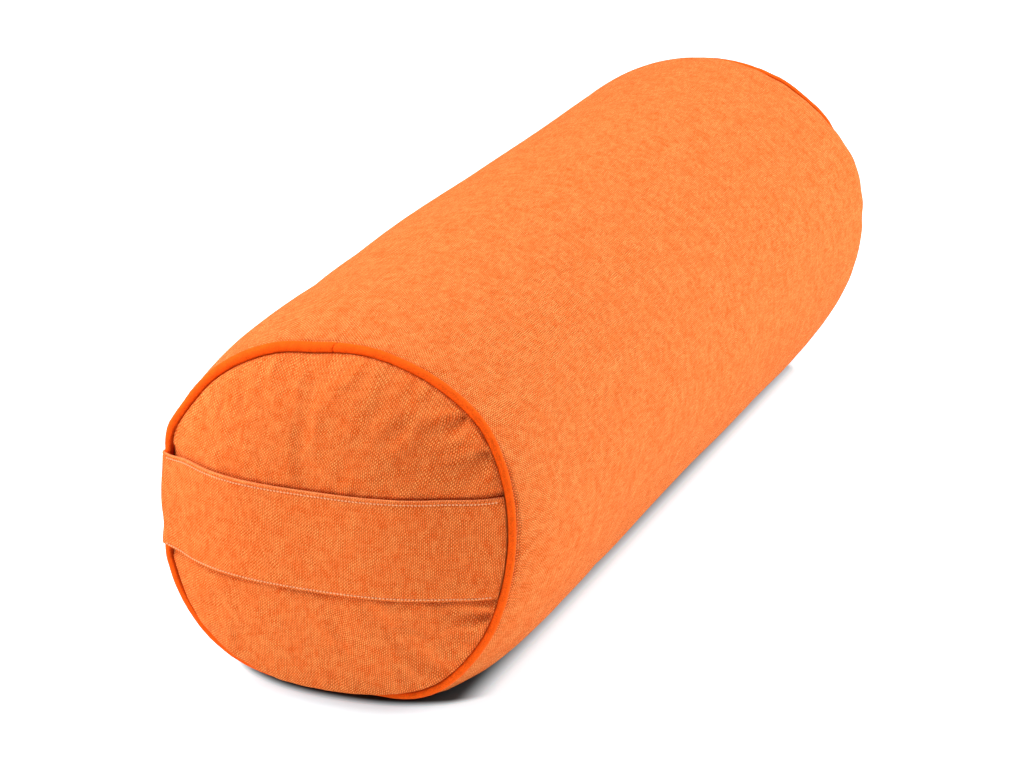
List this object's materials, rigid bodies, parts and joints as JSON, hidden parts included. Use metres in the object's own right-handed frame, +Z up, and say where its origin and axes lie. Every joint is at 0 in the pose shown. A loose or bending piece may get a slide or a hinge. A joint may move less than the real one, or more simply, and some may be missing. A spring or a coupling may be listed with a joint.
{
  "type": "yoga bolster",
  "caption": "Round filled bolster cushion of woven cotton, with crowned piped ends, a flattened underside and a carrying strap across one end; supports the body in yoga and rest",
  "frame": {"origin": "bottom centre of the bounding box: under the middle of the bolster, on the surface that it rests on", "axes": "+Z up; the roll's long axis runs along Y, with the strap end facing -Y; +X to the right seen from the strap end"},
  "size_m": [0.2256, 0.6848, 0.2052],
  "materials": {
    "canvas": "heathered orange cotton canvas, matt",
    "piping": "plain deep orange cotton over cord, matt",
    "strap": "doubled orange cotton canvas with topstitched edges"
  },
  "bodies": {
    "root": {"body": "canvas", "end_panel_front": "canvas", "end_panel_back": "canvas", "piping_front": "piping", "piping_back": "piping", "handle_strap": "strap"}
  },
  "joints": []
}
